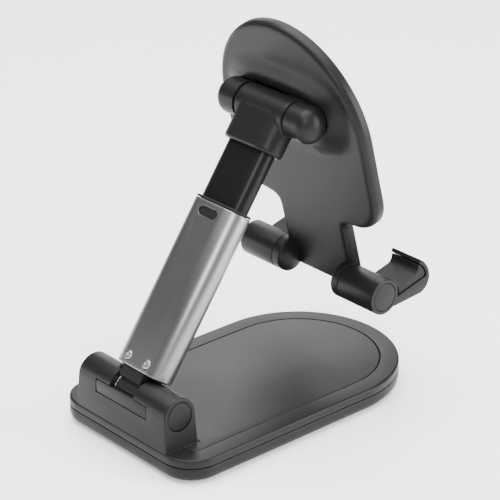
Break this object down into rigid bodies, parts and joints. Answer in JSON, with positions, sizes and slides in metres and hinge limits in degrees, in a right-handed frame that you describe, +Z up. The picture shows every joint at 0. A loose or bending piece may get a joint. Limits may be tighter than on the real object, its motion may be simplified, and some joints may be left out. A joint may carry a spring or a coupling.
{
  "type": "foldable phone stand",
  "caption": "Desk phone stand: weighted base, leaning telescopic arm, tilting back plate and folding hooks that hold a phone by its lower edge.",
  "frame": {"origin": "on the desk under the middle of the base, at the underside of the anti-slip pad", "axes": "+Z up, -Y towards the user, +X to the right as seen by the user"},
  "size_m": [0.0692, 0.1144, 0.1333],
  "materials": {
    "black_shell": "satin black moulding",
    "satin_inlay": "satin dark grey",
    "black_silicone": "matt silicone",
    "grey_anodised": "grey anodised satin",
    "black_anodised": "black anodised satin",
    "bright_steel": "plain turned steel",
    "black_nylon": "matt nylon"
  },
  "bodies": {
    "base": {"base_bottom_shell": "black_shell", "anti_slip_pad": "black_silicone", "weight_plate": "bright_steel", "base_top_shell": "black_shell", "base_inlay_panel": "satin_inlay", "base_screw_1": "bright_steel", "base_screw_2": "bright_steel", "base_screw_3": "bright_steel", "base_screw_4": "bright_steel", "hinge_rear_cover": "black_shell", "hinge_end_disc_right": "black_shell", "hinge_end_disc_left": "black_shell", "hinge_axle": "bright_steel", "hinge_nut": "bright_steel", "hinge_washer_right": "bright_steel", "hinge_washer_left": "bright_steel"},
    "arm": {"arm_foot_bracket": "black_nylon", "outer_tube": "grey_anodised", "bracket_screw_right": "bright_steel", "bracket_screw_left": "bright_steel", "slide_stop": "black_nylon", "tube_mouth_ring": "black_nylon"},
    "rod": {"inner_rod": "black_anodised", "slide_shoe": "black_nylon", "neck_collar": "black_shell"},
    "head": {"head_barrel_cap_right": "black_shell", "head_barrel_cap_left": "black_shell", "head_axle": "bright_steel", "head_nut": "bright_steel", "head_washer_right": "bright_steel", "head_washer_left": "bright_steel", "head_plate": "black_shell", "face_pad": "black_silicone", "cap_screw_right": "bright_steel", "cap_screw_left": "bright_steel", "hook_pin_right": "bright_steel", "hook_washer_right": "bright_steel", "hook_pin_left": "bright_steel", "hook_washer_left": "bright_steel"},
    "right_hook": {"hook_right": "black_shell", "hook_liner_right": "black_silicone", "hook_end_disc_right": "black_shell"},
    "left_hook": {"hook_left": "black_shell", "hook_liner_left": "black_silicone", "hook_end_disc_left": "black_shell"}
  },
  "joints": [
    {"name": "arm_hinge", "type": "hinge", "parent": "base", "child": "arm", "pos_m": [0, 0.0503, 0.0198], "axis": [1, 0, 0], "range_deg": [-35, 12]},
    {"name": "arm_slide", "type": "slide", "parent": "arm", "child": "rod", "axis": [0, -0.5764, 0.8171], "range_m": [-0.02, 0]},
    {"name": "head_hinge", "type": "hinge", "parent": "rod", "child": "head", "pos_m": [0, -0.00873, 0.10348], "axis": [1, 0, 0], "range_deg": [-75, 49]},
    {"name": "right_hook_fold", "type": "hinge", "parent": "head", "child": "right_hook", "pos_m": [0, -0.03031, 0.04037], "axis": [-1, 0, 0], "range_deg": [0, 88]},
    {"name": "left_hook_fold", "type": "hinge", "parent": "head", "child": "left_hook", "pos_m": [0, -0.03031, 0.04037], "axis": [-1, 0, 0], "range_deg": [0, 88]}
  ]
}
